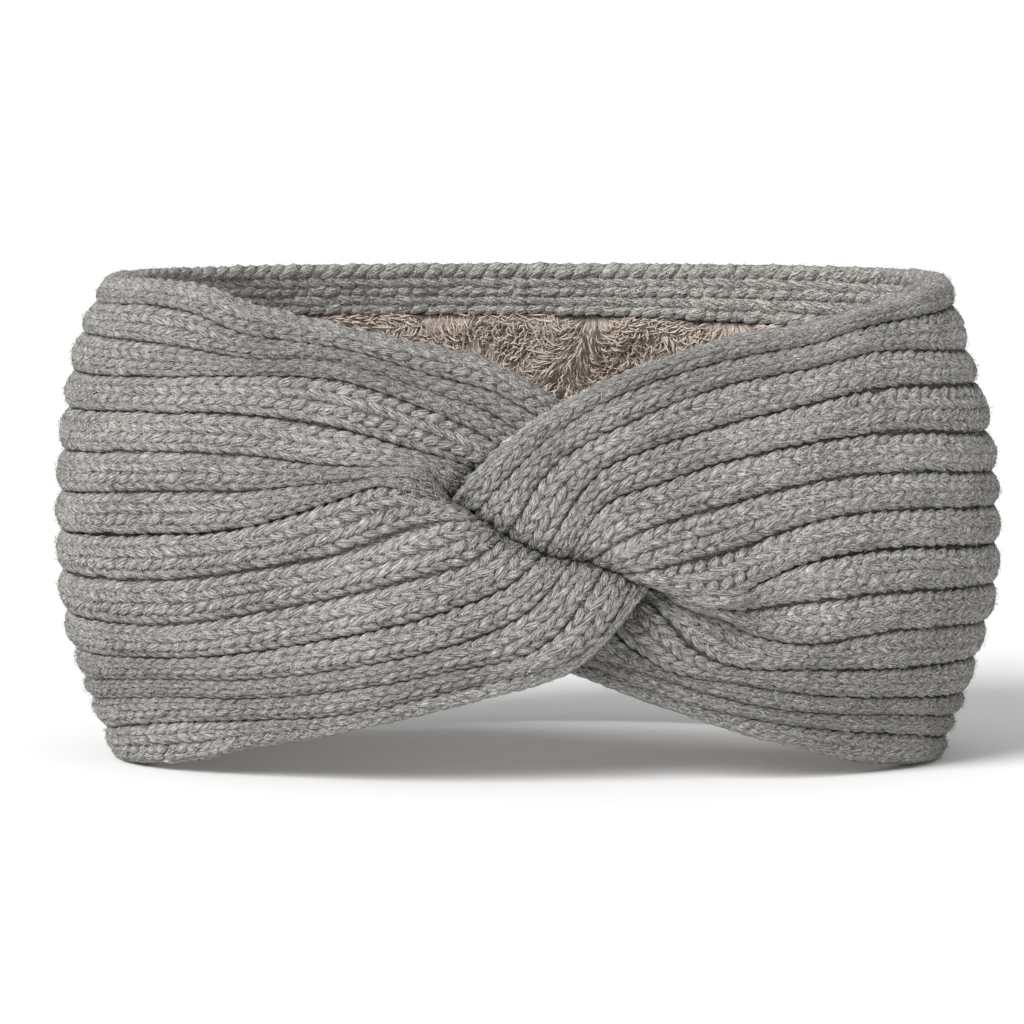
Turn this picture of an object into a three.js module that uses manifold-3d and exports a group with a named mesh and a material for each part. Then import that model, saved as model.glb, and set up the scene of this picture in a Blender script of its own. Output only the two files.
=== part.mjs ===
// A knitted ear warmer headband: one rib-knit band, crossed over itself in a twist at the front,
// with a plush lining inside. It stands on its lower rim.
// Millimetres, +Z up. The front faces -Y, +X is on the right as seen from the front.
import * as THREE from "three";
import { mergeVertices } from "three/addons/utils/BufferGeometryUtils.js";
import Module from "manifold-3d";

// The band seen from above is a rounded oblong.
const HALF_WIDTH = 105.6; // middle to either side
const HALF_DEPTH = 60; // middle to the front and to the back
const ROUNDNESS = 2.4; // 2 is an ellipse, more is squarer
const HEIGHT = 108; // lower rim to upper rim
const BACK_RISE = 0.13; // the lower rim at the middle of the back, of HEIGHT
const REST_BACK = 0.2; // the lower rim lies flat over this share of the way from side to back
const RIM_INSET = 12.6; // how far the band's barrel form draws in at the lower rim
const FRONT_INSET = { share: 0.35, from: 0.15, to: 0.85 }; // only this share of it is left at the
// middle of the front, and all of it from the second place across

// The knit.
const WALL = 4.5; // crest of a rib to the back of the fabric
const RIB_RELIEF = 1.6; // crest of a rib to the groove beside it
const HEM_THICKNESS = 3; // the edge folded in behind the wall
const HEM_RIBS = 1.75; // how many ribs deep the hem is
const HEM_LIP_RIBS = 0.05; // over which the hem's edge steps back to the wall
const RIM_ROLL = 1.8; // rounding of the upper and lower rims
const FLAT_LIFT = 0.5; // a rim no higher than this lies on the floor

// The twist. Two arms end at the crease, and under each of them the other half's edge passes by.
const SINK = 3; // how far in the arms that pass under lie
const LAYER_GAP = 2.5; // room between the arm over and the arm under
const LIFT = WALL - SINK + LAYER_GAP; // how far out the arms that pass over lie
const SHOULDER = 5.5; // radius over which an arm turns in at the crease
const SEAM_OVERLAP = 0.3; // how far each arm runs past the crease, where the two are sewn together

// The lining.
const PILE = 4; // thickness of the plush
const CLEARANCE = 0.4; // lining to the knit behind it
const LINING_EDGE_GAP = 0.12; // lining to the hem's edge, in ribs
const LINING_FRONT = { top: 0.7, bottom: 0.28 }; // its edges at the middle of the front, of HEIGHT
const LINING_SUNK = { from: 0.35, to: 0.72 }; // across, where it comes out from behind the twist
const LINING_EDGE_RIBS = 0.35; // rounding of its edges, in ribs

// How far the band draws in over its height, on its left and right half: up is a share of HEIGHT,
// left and right are shares of RIM_INSET.
const BARREL = [
  { up: 0, left: 1, right: 1 },
  { up: 0.05, left: 0.83, right: 0.88 },
  { up: 0.1, left: 0.65, right: 0.7 },
  { up: 0.14, left: 0.52, right: 0.56 },
  { up: 0.18, left: 0.42, right: 0.46 },
  { up: 0.22, left: 0.29, right: 0.34 },
  { up: 0.26, left: 0.18, right: 0.26 },
  { up: 0.3, left: 0.11, right: 0.13 },
  { up: 0.36, left: 0.03, right: 0.03 },
  { up: 0.45, left: 0, right: 0 },
  { up: 0.55, left: 0, right: 0.02 },
  { up: 0.64, left: 0.04, right: 0.09 },
  { up: 0.72, left: 0.12, right: 0.22 },
  { up: 0.76, left: 0.17, right: 0.32 },
  { up: 0.8, left: 0.24, right: 0.43 },
  { up: 0.84, left: 0.31, right: 0.54 },
  { up: 0.88, left: 0.4, right: 0.63 },
  { up: 0.93, left: 0.6, right: 0.76 },
  { up: 0.97, left: 0.78, right: 0.86 },
  { up: 1, left: 0.92, right: 0.96 },
];

// The crease of the twist, from its upper left end to its lower right end.
// Here and below, across is a share of HALF_WIDTH from the middle and up is a share of HEIGHT.
const CREASE = [
  { across: -0.166, up: 0.576 },
  { across: -0.117, up: 0.552 },
  { across: -0.07, up: 0.523 },
  { across: -0.041, up: 0.505 },
  { across: 0.03, up: 0.469 },
  { across: 0.07, up: 0.461 },
  { across: 0.123, up: 0.458 },
  { across: 0.15, up: 0.45 },
  { across: 0.18, up: 0.431 },
  { across: 0.22, up: 0.419 },
  { across: 0.256, up: 0.416 },
];

// The grooves between the ribs, from the upper rim to the lower one, each from the side of the
// band to its end in the twist. side, near and fore are heights at 1, NEAR and FORE across, and
// mid, turn and bend are points [across, up]. A groove of an arm that passes over ends on the
// crease, at a share of its length, and any other ends at a point hidden under the other arm.
// The back of an arm marked thin leaves room for the other arm, and the rest is filled.
const NEAR = 0.8;
const FORE = 0.6;
const GROOVE_COLUMNS = ["side", "near", "fore", "mid", "turn", "bend", "end"];
const RIGHT_GROOVES = groovesFrom([
  [1.0, 0.959, 0.921, [0.4, 0.899], [0.143, 0.816], [-0.051, 0.696], { crease: 0, thin: true }],
  [0.937, 0.919, 0.881, [0.4, 0.852], [0.184, 0.792], [0.02, 0.69], { crease: 0.12, thin: true }],
  [0.841, 0.862, 0.835, [0.4, 0.804], [0.225, 0.746], [0.053, 0.656], { crease: 0.3, thin: true }],
  [0.777, 0.791, 0.764, [0.4, 0.726], [0.225, 0.678], [0.123, 0.616], { crease: 0.48, thin: true }],
  [0.673, 0.699, 0.687, [0.4, 0.654], [0.266, 0.616], [0.153, 0.572], { crease: 0.58, thin: true }],
  [0.594, 0.619, 0.61, [0.4, 0.567], [0.266, 0.534], [0.184, 0.5], { crease: 0.68 }],
  [0.525, 0.546, 0.531, [0.4, 0.472], [0.307, 0.456], [0.256, 0.446], { crease: 0.82 }],
  [0.446, 0.468, 0.451, [0.49, 0.411], [0.44, 0.385], [0.348, 0.388], { crease: 0.93 }],
  [0.365, 0.378, 0.369, [0.43, 0.357], [0.348, 0.372], [0.297, 0.388], { crease: 1 }],
  [0.286, 0.301, 0.279, [0.48, 0.302], [0.43, 0.336], [0.348, 0.356], { hidden: [0.266, 0.396] }],
  [0.215, 0.218, 0.228, [0.43, 0.235], [0.348, 0.272], [0.286, 0.338], { hidden: [0.225, 0.398] }],
  [0.136, 0.156, 0.175, [0.43, 0.205], [0.307, 0.222], [0.204, 0.282], { hidden: [0.143, 0.346] }],
  [0.09, 0.123, 0.139, [0.43, 0.169], [0.307, 0.206], [0.153, 0.25], { hidden: [0.061, 0.302] }],
  [0.045, 0.083, 0.109, [0.43, 0.141], [0.266, 0.182], [0.123, 0.246], { hidden: [0.01, 0.282] }],
  [0, 0.02, 0.065, [0.43, 0.109], [0.225, 0.18], [0.092, 0.228], { hidden: [-0.02, 0.258] }],
]);
const LEFT_GROOVES = groovesFrom([
  [1.0, 1.0, 0.962, [-0.4, 0.927], [-0.184, 0.884], [-0.061, 0.85], { hidden: [0.143, 0.732] }],
  [0.941, 0.949, 0.901, [-0.4, 0.878], [-0.184, 0.82], [-0.061, 0.786], { hidden: [0.082, 0.702] }],
  [0.883, 0.876, 0.855, [-0.4, 0.852], [-0.184, 0.786], [-0.082, 0.752], { hidden: [0.041, 0.672] }],
  [0.801, 0.811, 0.822, [-0.4, 0.818], [-0.225, 0.764], [-0.102, 0.712], { hidden: [0, 0.646] }],
  [0.729, 0.74, 0.743, [-0.4, 0.718], [-0.225, 0.668], [-0.133, 0.644], { hidden: [-0.1, 0.622] }],
  [0.639, 0.661, 0.662, [-0.4, 0.644], [-0.225, 0.646], [-0.19, 0.62], { crease: 0 }],
  [0.554, 0.581, 0.591, [-0.4, 0.614], [-0.266, 0.628], [-0.194, 0.606], { crease: 0.03 }],
  [0.473, 0.494, 0.515, [-0.4, 0.578], [-0.317, 0.612], [-0.225, 0.592], { crease: 0.06 }],
  [0.392, 0.4, 0.427, [-0.4, 0.466], [-0.225, 0.528], [-0.153, 0.544], { crease: 0.2 }],
  [0.307, 0.309, 0.339, [-0.4, 0.38], [-0.225, 0.424], [-0.123, 0.456], { crease: 0.3 }],
  [0.23, 0.241, 0.262, [-0.4, 0.3], [-0.225, 0.342], [-0.061, 0.402], { crease: 0.5, thin: true }],
  [0.167, 0.198, 0.207, [-0.4, 0.234], [-0.184, 0.282], [-0.02, 0.348], { crease: 0.63, thin: true }],
  [0.128, 0.161, 0.169, [-0.4, 0.192], [-0.184, 0.234], [0.02, 0.286], { crease: 0.78, thin: true }],
  [0.065, 0.107, 0.124, [-0.4, 0.142], [-0.184, 0.192], [0.102, 0.272], { crease: 0.93, thin: true }],
  [0, 0.022, 0.067, [-0.4, 0.105], [-0.102, 0.184], [0.092, 0.246], { crease: 1, thin: true }],
]);

function groovesFrom(rows) {
  return rows.map((row) => Object.fromEntries(row.map((value, i) => [GROOVE_COLUMNS[i], value])));
}

// How finely the surface is cut. A station is a knot of a groove: 0 at the side of the band,
// then near, fore, mid, turn and bend, and the last at its end.
const LAST_STATION = 6;
const LIFT_STATIONS = [2.3, 4.2]; // over these an arm rises over, or sinks under, the other one
const HEM_STATIONS = [2.2, 3.6]; // over these the hem flattens out towards the twist
const FRONT_STEPS = 22;
const FRONT_CROWDING = 1.35; // over 1, the steps crowd towards the crease
const BACK_STEPS = 8;
const CUTS_PER_RIB = 3;
const CREST_POWER = 0.7; // under 1, the crest of a rib is flatter than a sine
const LINING_STATION = 3; // from here to the middle of the front the lining runs straight
const LINING_MIDDLE_STEPS = 5;
const PLAN_STEPS = 600;
const CREASE_CUTS = 8; // between two of its points
const CREASE_NEARBY = 0.05; // share of the crease over which its direction is taken

const RIBS = RIGHT_GROOVES.length - 1;

const mix = (a, b, share) => a + (b - a) * share;
const smooth = (from, to, value) => THREE.MathUtils.smoothstep(value, from, to);

// One quarter of the plan, as points with their distance from its front middle.
function planQuarter() {
  const points = [{ length: 0, x: 0, y: HALF_DEPTH }];
  for (let i = 1; i <= PLAN_STEPS; i++) {
    const turn = ((Math.PI / 2) * i) / PLAN_STEPS;
    const x = HALF_WIDTH * Math.sin(turn) ** (2 / ROUNDNESS);
    const y = i < PLAN_STEPS ? HALF_DEPTH * Math.cos(turn) ** (2 / ROUNDNESS) : 0;
    const last = points[i - 1];
    points.push({ length: last.length + Math.hypot(x - last.x, y - last.y), x, y });
  }
  return points;
}
const PLAN = planQuarter();
const QUARTER = PLAN[PLAN_STEPS].length;

// The value of one column where another column reaches a given value, between the table's rows.
function lookUp(rows, key, value, wanted) {
  let low = 0;
  let high = rows.length - 1;
  while (high - low > 1) {
    const middle = (low + high) >> 1;
    if (rows[middle][key] <= value) low = middle;
    else high = middle;
  }
  const share = (value - rows[low][key]) / (rows[high][key] - rows[low][key]);
  return mix(rows[low][wanted], rows[high][wanted], THREE.MathUtils.clamp(share, 0, 1));
}

// Distance along the plan from the middle of the front, plus to the right and minus to the left.
function lengthAt(across) {
  return Math.sign(across) * lookUp(PLAN, "x", Math.abs(across) * HALF_WIDTH, "length");
}

// A point of the band, given along the plan, up, and out from the crests of the ribs.
function place(along, up, out) {
  const distance = Math.abs(along);
  const back = distance > QUARTER;
  const inQuarter = back ? 2 * QUARTER - distance : distance;
  const x = lookUp(PLAN, "length", inQuarter, "x");
  const y = lookUp(PLAN, "length", inQuarter, "y");
  const nx = (x / HALF_WIDTH) ** (ROUNDNESS - 1) / HALF_WIDTH;
  const ny = (y / HALF_DEPTH) ** (ROUNDNESS - 1) / HALF_DEPTH;
  const size = Math.hypot(nx, ny);
  const sideways = smooth(lengthAt(FRONT_INSET.from), lengthAt(FRONT_INSET.to), distance);
  const right = along < 0 ? -1 : 1;
  const [left, other] = ["left", "right"].map((half) => lookUp(BARREL, "up", up / HEIGHT, half));
  const inset = RIM_INSET * mix(left, other, smooth(-HALF_WIDTH / 2, HALF_WIDTH / 2, right * x));
  const shift = out - inset * mix(FRONT_INSET.share, 1, sideways);
  const behind = back ? 1 : -1;
  return [right * (x + (shift * nx) / size), behind * (y + (shift * ny) / size), up];
}

// A smooth curve through points [along, up] that lie one station apart. It may start level.
function spline(knots, station, startsLevel) {
  const last = knots.length - 1;
  const i = Math.min(Math.floor(station), last - 1);
  const t = station - i;
  const slope = (j) => {
    const before = knots[Math.max(j - 1, 0)];
    const after = knots[Math.min(j + 1, last)];
    const share = j === 0 || j === last ? 1 : 0.5;
    const [along, up] = after.map((v, axis) => (v - before[axis]) * share);
    return [along, j === 0 && startsLevel ? 0 : up];
  };
  const [from, to] = [slope(i), slope(i + 1)];
  const t2 = t * t;
  const t3 = t2 * t;
  return knots[i].map(
    (v, axis) =>
      v * (2 * t3 - 3 * t2 + 1) +
      from[axis] * (t3 - 2 * t2 + t) +
      knots[i + 1][axis] * (3 * t2 - 2 * t3) +
      to[axis] * (t3 - t2),
  );
}

// The crease as points along and up, with the share of its length at each.
function creaseTable() {
  const knots = CREASE.map(({ across, up }) => [lengthAt(across), up * HEIGHT]);
  const rows = [];
  const cuts = CREASE_CUTS * (knots.length - 1);
  for (let i = 0; i <= cuts; i++) {
    const [along, up] = spline(knots, (i * (knots.length - 1)) / cuts, false);
    const last = rows[i - 1];
    const length = last ? last.length + Math.hypot(along - last.along, up - last.up) : 0;
    rows.push({ length, along, up });
  }
  return rows;
}
const CREASE_TABLE = creaseTable();

// Where a groove of the right (1) or left (-1) arm ends, just past the crease.
function creasePoint(share, arm) {
  const whole = CREASE_TABLE[CREASE_TABLE.length - 1].length;
  const point = (at) => ["along", "up"].map((key) => lookUp(CREASE_TABLE, "length", at * whole, key));
  const [along, up] = point(share);
  const before = point(Math.max(share - CREASE_NEARBY, 0));
  const after = point(Math.min(share + CREASE_NEARBY, 1));
  const run = [after[0] - before[0], after[1] - before[1]];
  const size = Math.hypot(...run);
  return [along + (arm * SEAM_OVERLAP * run[1]) / size, up - (arm * SEAM_OVERLAP * run[0]) / size];
}

// The columns of one half of the band: stations from the crease to the side, then the back.
function columnsOfHalf() {
  const columns = [];
  for (let i = 0; i <= FRONT_STEPS; i++) {
    columns.push({ station: LAST_STATION * (1 - (i / FRONT_STEPS) ** FRONT_CROWDING), back: 0 });
  }
  columns.reverse();
  columns[0].station = 0;
  for (let i = 1; i <= BACK_STEPS; i++) columns.unshift({ station: 0, back: i / BACK_STEPS });
  return columns;
}
const COLUMNS = columnsOfHalf();

// A groove at every column: along, up, and the outside and the inside of the knit there.
function grooveLine(groove, index, arm) {
  const { crease, hidden, thin } = groove.end;
  const over = !hidden;
  const end = over ? creasePoint(crease, arm) : [lengthAt(hidden[0]), hidden[1] * HEIGHT];
  const knots = [
    [arm * QUARTER, groove.side * HEIGHT],
    [arm * lengthAt(NEAR), groove.near * HEIGHT],
    [arm * lengthAt(FORE), groove.fore * HEIGHT],
    ...[groove.mid, groove.turn, groove.bend].map(([across, up]) => [lengthAt(across), up * HEIGHT]),
    end,
  ];
  const line = COLUMNS.map(({ station, back }) => {
    const [along, up] = spline(knots, station, true);
    const evenly = mix(1, BACK_RISE, index / RIBS) * HEIGHT;
    const level = mix(up, evenly, smooth(REST_BACK, 1, back));
    return { along: along + arm * back * QUARTER, up: level, station };
  });
  let toEnd = 0;
  for (let i = line.length - 1; i >= 0; i--) {
    const [here, next] = [line[i], line[i + 1]];
    if (next) toEnd += Math.hypot(here.along - next.along, here.up - next.up);
    const rise = smooth(...LIFT_STATIONS, here.station);
    const turned = over ? Math.max(SHOULDER - toEnd, 0) : 0;
    const drop = SHOULDER - Math.sqrt(SHOULDER ** 2 - turned ** 2);
    here.outside = (over ? LIFT : -SINK) * rise - drop;
    const hollow = thin ? -WALL + LIFT * rise : -WALL - SINK * rise;
    here.inside = mix(hollow, -WALL - SINK, turned / SHOULDER);
    here.hem = here.inside - HEM_THICKNESS * (1 - smooth(...HEM_STATIONS, here.station));
  }
  if (index === RIBS) for (const here of line) here.up = Math.max(here.up - FLAT_LIFT, 0);
  return line;
}

// A row between two grooves, counted in ribs from the upper rim.
function rowAt(lines, ribs) {
  const i = Math.min(Math.floor(ribs), RIBS - 1);
  const share = ribs - i;
  return lines[i].map((a, column) => {
    const b = lines[i + 1][column];
    const row = {};
    for (const key of Object.keys(a)) row[key] = mix(a[key], b[key], share);
    return row;
  });
}

// The outside rows of the knit, from the upper rim to the lower one.
function outsideRows(lines) {
  const rows = [];
  const cuts = RIBS * CUTS_PER_RIB;
  for (let i = 0; i <= cuts; i++) {
    const ribs = i / CUTS_PER_RIB;
    const crest = Math.sin(Math.PI * (ribs % 1)) ** CREST_POWER;
    const depth = i % cuts ? RIB_RELIEF * (1 - crest) : RIM_ROLL;
    rows.push(rowAt(lines, ribs).map((p) => ({ ...p, out: p.outside - depth, ribs })));
  }
  return rows;
}

// The inside rows, from the lower rim to the upper one: hem, its edge, the back of the wall, hem.
function insideRows(lines) {
  const hemEnd = RIBS - HEM_RIBS;
  const rolled = 1 / CUTS_PER_RIB;
  const row = (ribs, face, raised) =>
    rowAt(lines, ribs).map((p) => ({ ...p, out: p[face] + raised, ribs }));
  const rows = [row(RIBS, "hem", RIM_ROLL), row(RIBS - rolled, "hem", 0), row(hemEnd, "hem", 0)];
  rows.push(row(hemEnd - HEM_LIP_RIBS, "inside", 0));
  for (let ribs = Math.ceil(hemEnd) - 2; ribs > HEM_RIBS + 1; ribs--) rows.push(row(ribs, "inside", 0));
  rows.push(row(HEM_RIBS + HEM_LIP_RIBS, "inside", 0), row(HEM_RIBS, "hem", 0));
  rows.push(row(rolled, "hem", 0), row(0, "hem", RIM_ROLL));
  return rows;
}

// A closed body from rows that run round its section, each with the same columns. The first
// rows are its outside, and the ends are closed between the outside and the inside.
function sweptBody(outside, inside, flip, openEnds) {
  const rows = [...outside, ...inside];
  const columns = rows[0].length;
  const positions = rows.flatMap((row) => row.flatMap((p) => place(p.along, p.up, p.out)));
  const triangles = [];
  const at = (row, column) => (row % rows.length) * columns + column;
  const add = (a, b, c) => triangles.push(...(flip ? [a, c, b] : [a, b, c]));
  const spans = openEnds ? columns - 1 : columns;
  for (let r = 0; r < rows.length; r++) {
    for (let c = 0; c < spans; c++) {
      const next = (c + 1) % columns;
      add(at(r, c), at(r + 1, next), at(r, next));
      add(at(r, c), at(r + 1, c), at(r + 1, next));
    }
  }
  if (openEnds) {
    closeEnd(outside, inside, at, 0, (a, b, c) => add(a, c, b));
    closeEnd(outside, inside, at, columns - 1, add);
  }
  const geometry = new THREE.BufferGeometry();
  geometry.setAttribute("position", new THREE.Float32BufferAttribute(positions, 3));
  geometry.setIndex(triangles);
  return geometry;
}

// The cap at one end: a strip of triangles between the outside and the inside rows.
function closeEnd(outside, inside, at, column, add) {
  let o = 0;
  let i = inside.length - 1;
  while (o < outside.length - 1 || i > 0) {
    const stepOut = i === 0 || (o < outside.length - 1 && outside[o + 1][0].ribs <= inside[i - 1][0].ribs);
    const inner = at(outside.length + i, column);
    if (stepOut) {
      add(at(o, column), at(o + 1, column), inner);
      o++;
    } else {
      add(at(o, column), at(outside.length + i - 1, column), inner);
      i--;
    }
  }
}

const HALVES = [
  { arm: 1, lines: RIGHT_GROOVES.map((groove, index) => grooveLine(groove, index, 1)) },
  { arm: -1, lines: LEFT_GROOVES.map((groove, index) => grooveLine(groove, index, -1)) },
];

const wasm = await Module();
wasm.setup();

function solidOf(geometry) {
  const merged = mergeVertices(geometry, 1e-4);
  return new wasm.Manifold(
    new wasm.Mesh({
      numProp: 3,
      vertProperties: merged.attributes.position.array,
      triVerts: new Uint32Array(merged.index.array),
    }),
  );
}

function geometryOf(solid) {
  const mesh = solid.getMesh();
  const geometry = new THREE.BufferGeometry();
  geometry.setAttribute("position", new THREE.BufferAttribute(mesh.vertProperties, 3));
  geometry.setIndex(new THREE.BufferAttribute(mesh.triVerts, 1));
  geometry.computeVertexNormals();
  return geometry;
}

// The two halves meet at the back and are sewn together behind the crease.
function knitBand() {
  const [right, left] = HALVES.map(({ arm, lines }) =>
    solidOf(sweptBody(outsideRows(lines), insideRows(lines), arm > 0, true)),
  );
  return geometryOf(right.add(left));
}

// The lining's columns run right round the band: the right half, the left half, and the stretch
// behind the twist between the two.
function liningRow(ribs, out) {
  const [top, bottom] = [HEM_RIBS + LINING_EDGE_GAP, RIBS - HEM_RIBS - LINING_EDGE_GAP];
  const share = (ribs - top) / (bottom - top);
  const level = mix(LINING_FRONT.top, LINING_FRONT.bottom, share) * HEIGHT;
  const [right, left] = HALVES.map(({ lines }) =>
    rowAt(lines, ribs).filter((p) => p.station <= LINING_STATION),
  );
  const [fromLeft, toRight] = [left[left.length - 1], right[right.length - 1]];
  const middle = [];
  for (let i = 1; i < 2 * LINING_MIDDLE_STEPS; i++) {
    const across = i / LINING_MIDDLE_STEPS - 1;
    const end = across < 0 ? fromLeft : toRight;
    const reach = Math.abs(across);
    middle.push({ along: end.along * reach, up: mix(level, end.up, smooth(0, 1, reach)) });
  }
  const round = [...left, ...middle, ...right.slice(1).reverse()];
  return round.map(({ along, up }) => {
    const sunk = SINK * (1 - smooth(lengthAt(LINING_SUNK.from), lengthAt(LINING_SUNK.to), Math.abs(along)));
    return { along, up, out: -WALL - CLEARANCE - sunk + out, ribs };
  });
}

function fleeceLining() {
  const [top, bottom] = [HEM_RIBS + LINING_EDGE_GAP, RIBS - HEM_RIBS - LINING_EDGE_GAP];
  const levels = [top];
  for (let ribs = Math.ceil(top) + 1; ribs < bottom - 1; ribs += 2) levels.push(ribs);
  levels.push(bottom);
  const outside = levels.map((ribs) => liningRow(ribs, 0));
  const inside = levels.map((ribs, i) => {
    const shift = i === 0 ? LINING_EDGE_RIBS : i === levels.length - 1 ? -LINING_EDGE_RIBS : 0;
    return liningRow(ribs + shift, -PILE);
  });
  return sweptBody(outside, inside.reverse(), false, false);
}

const headband = new THREE.Group();

function addPiece(name, geometry, color, roughness) {
  const material = new THREE.MeshStandardMaterial({ color, roughness, metalness: 0 });
  const mesh = new THREE.Mesh(geometry, material);
  mesh.name = name;
  headband.add(mesh);
}

addPiece("knit_band", knitBand(), 0xa39f99, 0.95);
addPiece("fleece_lining", fleeceLining(), 0x9c8a80, 1);

// The origin is under the middle of the whole band.
const box = new THREE.Box3().setFromObject(headband);
headband.position.set(-(box.min.x + box.max.x) / 2, -(box.min.y + box.max.y) / 2, -box.min.z);

export default headband;
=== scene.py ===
"""The looks of a knitted ear warmer headband with a twist at the front and a plush lining.

Metres, +Z up, the front faces -Y. Every stitch, rim loop, loose fibre and tuft of plush is a
small closed strand, and strands of one kind are joined into a few meshes.
"""
import math

import bpy
import numpy as np
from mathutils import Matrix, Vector


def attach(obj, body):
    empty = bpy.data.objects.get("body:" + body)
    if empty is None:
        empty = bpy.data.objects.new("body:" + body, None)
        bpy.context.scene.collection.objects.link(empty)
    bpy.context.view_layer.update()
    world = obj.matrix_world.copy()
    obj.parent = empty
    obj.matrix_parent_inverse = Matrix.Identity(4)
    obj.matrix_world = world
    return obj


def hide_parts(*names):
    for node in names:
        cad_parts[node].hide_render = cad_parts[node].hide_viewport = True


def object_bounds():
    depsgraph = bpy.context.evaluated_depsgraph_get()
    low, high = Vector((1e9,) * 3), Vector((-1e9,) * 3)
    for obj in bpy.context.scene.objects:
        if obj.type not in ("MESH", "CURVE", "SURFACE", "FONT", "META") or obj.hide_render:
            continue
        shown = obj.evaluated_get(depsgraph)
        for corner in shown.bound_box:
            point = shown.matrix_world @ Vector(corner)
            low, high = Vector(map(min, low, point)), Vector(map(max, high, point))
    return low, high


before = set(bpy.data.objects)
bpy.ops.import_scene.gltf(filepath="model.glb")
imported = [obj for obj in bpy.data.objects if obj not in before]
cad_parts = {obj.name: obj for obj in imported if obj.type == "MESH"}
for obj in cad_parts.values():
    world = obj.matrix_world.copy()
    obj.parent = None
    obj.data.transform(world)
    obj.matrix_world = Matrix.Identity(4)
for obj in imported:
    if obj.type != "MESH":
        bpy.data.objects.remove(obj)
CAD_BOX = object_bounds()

SEED = 11
BODY = "root"

# The band's form, as in the CAD source.
HALF_WIDTH = 0.1056
HALF_DEPTH = 0.060
ROUNDNESS = 2.4  # 2 is an ellipse, more is squarer
HEIGHT = 0.108
BACK_RISE = 0.13  # the lower rim at the middle of the back, of HEIGHT
REST_BACK = 0.2  # the lower rim lies flat over this share of the way from side to back
RIM_INSET = 0.0126
FRONT_INSET = {"share": 0.35, "from": 0.15, "to": 0.85}  # less at the front, full from "to" across
WALL = 0.0045
HEM_THICKNESS = 0.003
HEM_RIBS = 1.75
FLAT_LIFT = 0.0005
SINK = 0.003
LAYER_GAP = 0.0025
LIFT = WALL - SINK + LAYER_GAP
SHOULDER = 0.0055
SEAM_OVERLAP = 0.0003
PILE = 0.004
CLEARANCE = 0.0004
LINING_EDGE_GAP = 0.12  # in ribs
LINING_FRONT = {"top": 0.7, "bottom": 0.28}
LINING_SUNK = {"from": 0.35, "to": 0.72}

# How far the band draws in over its height, in rows of (up, left, right): up is a share of
# HEIGHT, and left and right are shares of RIM_INSET on its left and right half.
BARREL = [
    (0, 1, 1),
    (0.05, 0.83, 0.88),
    (0.1, 0.65, 0.7),
    (0.14, 0.52, 0.56),
    (0.18, 0.42, 0.46),
    (0.22, 0.29, 0.34),
    (0.26, 0.18, 0.26),
    (0.3, 0.11, 0.13),
    (0.36, 0.03, 0.03),
    (0.45, 0, 0),
    (0.55, 0, 0.02),
    (0.64, 0.04, 0.09),
    (0.72, 0.12, 0.22),
    (0.76, 0.17, 0.32),
    (0.8, 0.24, 0.43),
    (0.84, 0.31, 0.54),
    (0.88, 0.4, 0.63),
    (0.93, 0.6, 0.76),
    (0.97, 0.78, 0.86),
    (1, 0.92, 0.96),
]

# The crease of the twist, from its upper left end to its lower right end, as points
# (across, up). Across is a share of HALF_WIDTH from the middle, up is a share of HEIGHT.
CREASE = [
    (-0.166, 0.576),
    (-0.117, 0.552),
    (-0.07, 0.523),
    (-0.041, 0.505),
    (0.03, 0.469),
    (0.07, 0.461),
    (0.123, 0.458),
    (0.15, 0.45),
    (0.18, 0.431),
    (0.22, 0.419),
    (0.256, 0.416),
]

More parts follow.
